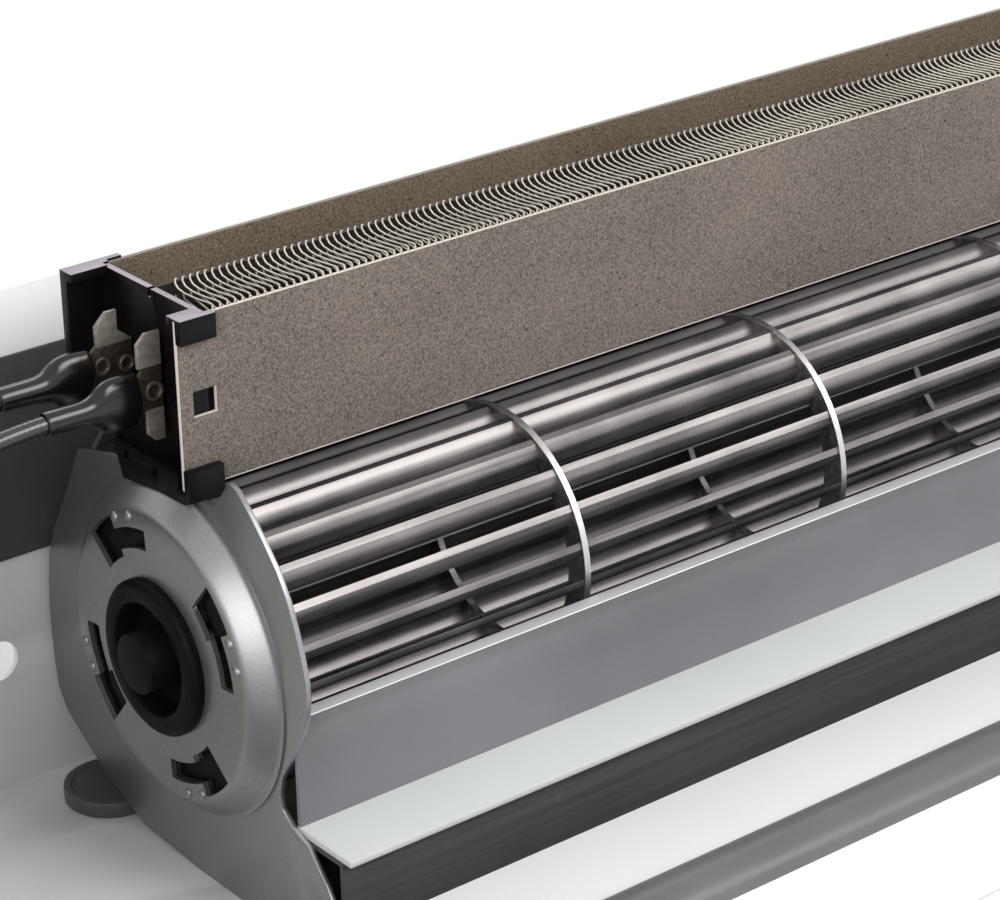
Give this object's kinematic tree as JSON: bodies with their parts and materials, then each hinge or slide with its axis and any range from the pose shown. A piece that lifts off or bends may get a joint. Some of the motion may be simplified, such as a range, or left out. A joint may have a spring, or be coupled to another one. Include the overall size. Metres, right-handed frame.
{
  "type": "air curtain",
  "caption": "Open air curtain: long painted tray with a cross-flow blower, curved-blade impeller, stitched-wire heater between mica boards, and end motor.",
  "frame": {"origin": "centre of the casing's footprint, on the underside of its floor", "axes": "+X along the impeller's axis, from the wiring bay towards the motor; +Y towards the wall the casing hangs on; +Z towards the heater's outlet, as in the picture, so in use over a doorway the part is turned over and +Z points down"},
  "size_m": [0.5716, 0.136, 0.1072],
  "materials": {
    "white_paint": "satin white powder paint",
    "grey_rail": "satin grey",
    "dark_sheet": "dull dark grey",
    "dark_plastic": "dull dark grey",
    "galvanised": "zinc-coated, satin",
    "black_rubber": "black, satin",
    "bronze": "sintered",
    "mica": "speckled warm grey-brown board",
    "heater_alloy": "pale nickel alloy",
    "black_plastic": "black, moulded",
    "nickel": "nickel-plated, satin",
    "sleeve": "black sleeving",
    "block_plastic": "ivory, moulded",
    "zinc_screws": "zinc-plated",
    "thermostat": "satin",
    "core_steel": "stacked laminations",
    "winding": "enamelled copper under varnish",
    "zinc_bracket": "die-cast",
    "bright_blades": "bright rolled",
    "ground_steel": "ground"
  },
  "bodies": {
    "casing": {"case_shell": "white_paint", "end_cap_left": "white_paint", "end_cap_right": "white_paint", "edge_rail": "grey_rail", "base_channel": "galvanised", "shelf_strip": "white_paint", "rear_shield": "dark_sheet", "blanking_plug": "dark_plastic", "cable_grommet": "black_rubber", "side_plate_left": "galvanised", "side_plate_right": "galvanised", "scroll_shell": "galvanised", "front_panel": "galvanised", "bearing_mount": "black_rubber", "bearing_bush": "bronze", "mica_front": "mica", "mica_middle": "mica", "mica_rear": "mica", "heating_wire": "heater_alloy", "heater_holder_left": "black_plastic", "heater_holder_right": "black_plastic", "terminal_rear": "nickel", "terminal_front": "nickel", "terminal_rivets": "nickel", "boot_rear": "sleeve", "boot_front": "sleeve", "lead_rear": "sleeve", "lead_front": "sleeve", "terminal_block": "block_plastic", "block_screws": "zinc_screws", "thermal_cutout": "thermostat", "motor_core": "core_steel", "motor_coil": "winding", "coil_bobbin": "block_plastic", "motor_bracket_front": "zinc_bracket", "motor_bracket_rear": "zinc_bracket", "motor_bearings": "bronze", "motor_bolts": "zinc_screws", "motor_leads": "sleeve", "plate_screws": "zinc_screws", "cap_screws": "zinc_screws"},
    "impeller": {"impeller_cage": "bright_blades", "impeller_end_left": "bright_blades", "impeller_end_right": "bright_blades", "stub_shaft": "ground_steel", "drive_hub": "black_rubber", "motor_shaft": "ground_steel", "motor_rotor": "core_steel", "cooling_fan": "black_plastic"}
  },
  "joints": [
    {"name": "impeller_spin", "type": "hinge", "parent": "casing", "child": "impeller", "pos_m": [0, 0.0228, 0.0432], "axis": [1, 0, 0], "continuous": true}
  ]
}
